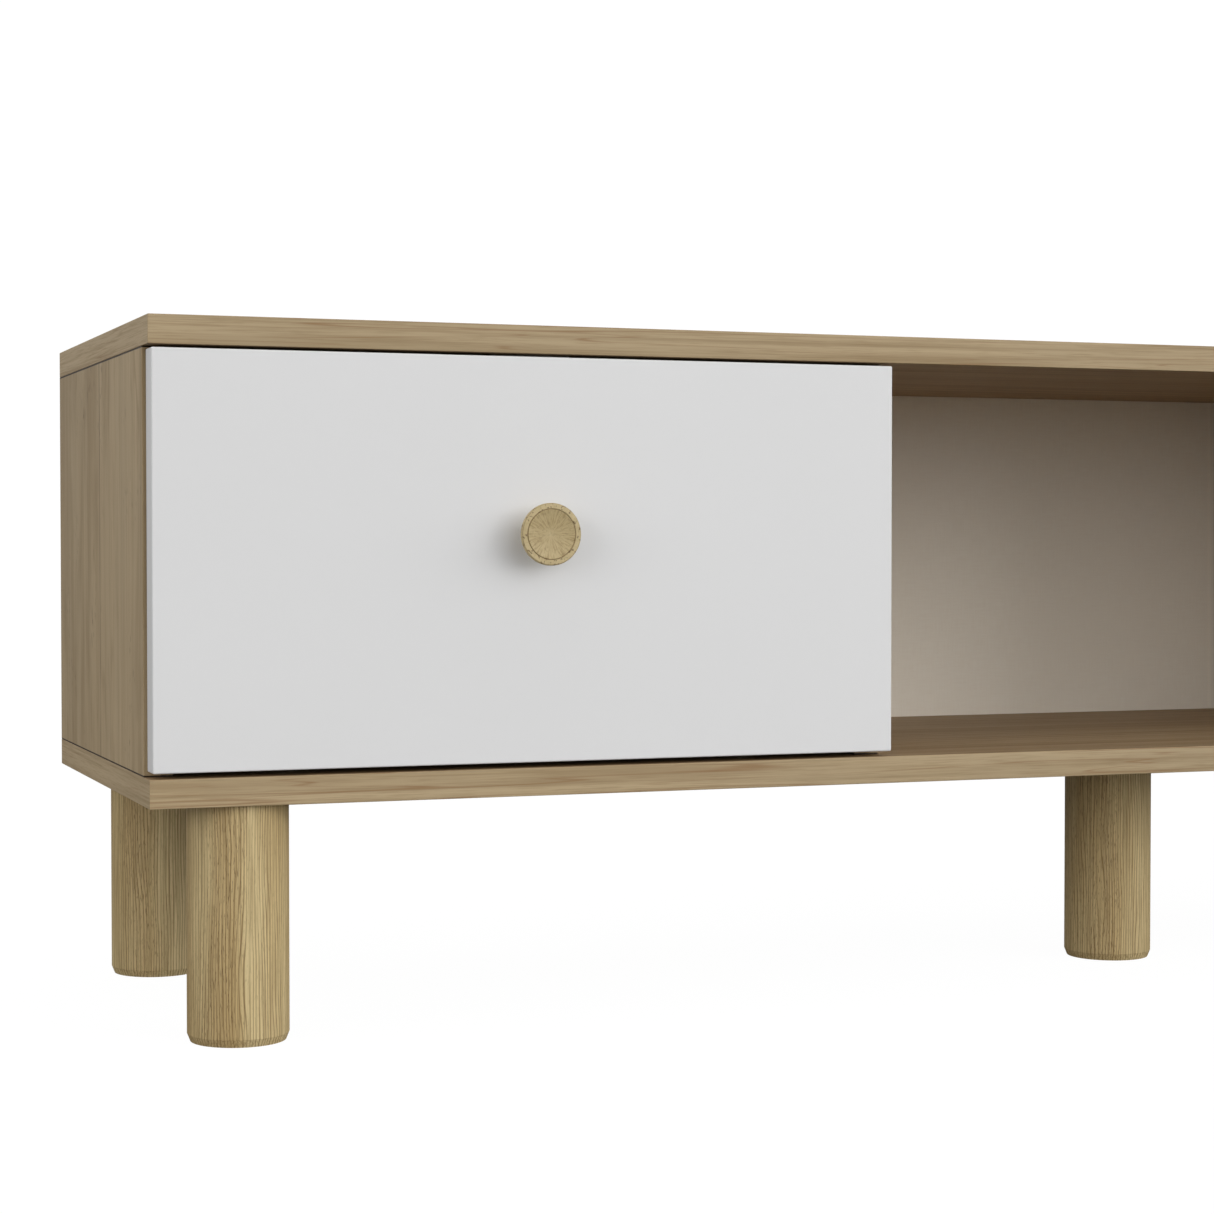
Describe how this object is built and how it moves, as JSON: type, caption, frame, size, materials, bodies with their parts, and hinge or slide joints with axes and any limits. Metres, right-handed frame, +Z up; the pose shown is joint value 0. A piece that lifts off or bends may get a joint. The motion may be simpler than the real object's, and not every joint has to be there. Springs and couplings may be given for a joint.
{
  "type": "tv stand with doors",
  "caption": "Long low tv stand on round legs, with drop-down white doors with round wooden knobs at both ends and an open bay in the middle.",
  "frame": {"origin": "on the floor, under the centre of the whole object's box, which runs from the knobs' faces to the back panel", "axes": "+X along the stand to the right as seen from the front, +Y from the front to the back, +Z up"},
  "size_m": [1.5, 0.373, 0.45],
  "materials": {
    "oak_laminate": "matt oak-pattern laminate, straight grain",
    "solid_oak": "pale oak, matt lacquer",
    "turned_wood": "turned wood, satin lacquer",
    "white_door": "satin white paint",
    "back_board": "light greige paper-faced hardboard",
    "beech": "fluted beech",
    "bright_steel": "zinc plated",
    "nickel_plate": "nickel plated",
    "zinc_alloy": "die-cast zinc",
    "white_plastic": "white moulded plastic",
    "clear_rubber": "soft translucent rubber",
    "dark_magnet": "dark ferrite"
  },
  "bodies": {
    "carcass": {"alignment_dowels": "beech", "back_left_leg": "solid_oak", "back_panel": "back_board", "back_panel_nails": "bright_steel", "back_right_leg": "solid_oak", "bottom_panel": "oak_laminate", "cam_bolts": "bright_steel", "cam_locks": "zinc_alloy", "centre_leg": "solid_oak", "front_left_leg": "solid_oak", "front_right_leg": "solid_oak", "left_carcass_screws": "bright_steel", "left_catch_magnet": "dark_magnet", "left_divider": "oak_laminate", "left_hinge_arm_screws": "bright_steel", "left_hinge_arms": "nickel_plate", "left_hinge_plates": "nickel_plate", "left_magnetic_catch": "white_plastic", "left_side_panel": "oak_laminate", "left_stay_wall_bracket": "nickel_plate", "left_stay_wall_pin": "bright_steel", "leg_hanger_bolts": "bright_steel", "leg_threaded_inserts": "bright_steel", "right_carcass_screws": "bright_steel", "right_catch_magnet": "dark_magnet", "right_divider": "oak_laminate", "right_hinge_arm_screws": "bright_steel", "right_hinge_arms": "nickel_plate", "right_hinge_plates": "nickel_plate", "right_magnetic_catch": "white_plastic", "right_side_panel": "oak_laminate", "right_stay_wall_bracket": "nickel_plate", "right_stay_wall_pin": "bright_steel", "top_panel": "oak_laminate"},
    "left_door": {"left_door_panel": "white_door", "left_knob": "turned_wood", "left_knob_screw": "bright_steel", "left_hinge_cups": "nickel_plate", "left_hinge_pins": "bright_steel", "left_stay_door_bracket": "nickel_plate", "left_stay_door_pin": "bright_steel", "left_strike_plate": "nickel_plate", "left_door_bumpers": "clear_rubber", "left_door_screws": "bright_steel"},
    "right_door": {"right_door_panel": "white_door", "right_knob": "turned_wood", "right_knob_screw": "bright_steel", "right_hinge_cups": "nickel_plate", "right_hinge_pins": "bright_steel", "right_stay_door_bracket": "nickel_plate", "right_stay_door_pin": "bright_steel", "right_strike_plate": "nickel_plate", "right_door_bumpers": "clear_rubber", "right_door_screws": "bright_steel"},
    "left_stay": {"left_stay_arm": "nickel_plate"},
    "right_stay": {"right_stay_arm": "nickel_plate"}
  },
  "joints": [
    {"name": "left_door_hinge", "type": "hinge", "parent": "carcass", "child": "left_door", "pos_m": [-0.499, -0.16, 0.1775], "axis": [1, 0, 0], "range_deg": [0, 90]},
    {"name": "left_stay_pivot", "type": "hinge", "parent": "left_door", "child": "left_stay", "pos_m": [-0.7257, -0.1365, 0.2625], "axis": [1, 0, 0], "range_deg": [-45, 0]},
    {"name": "right_door_hinge", "type": "hinge", "parent": "carcass", "child": "right_door", "pos_m": [0.499, -0.16, 0.1775], "axis": [1, 0, 0], "range_deg": [0, 90]},
    {"name": "right_stay_pivot", "type": "hinge", "parent": "right_door", "child": "right_stay", "pos_m": [0.7257, -0.1365, 0.2625], "axis": [1, 0, 0], "range_deg": [-45, 0]}
  ],
  "couplings": [
    {"joint": "left_stay_pivot", "follows": "left_door_hinge", "ratio": -0.5},
    {"joint": "right_stay_pivot", "follows": "right_door_hinge", "ratio": -0.5}
  ]
}
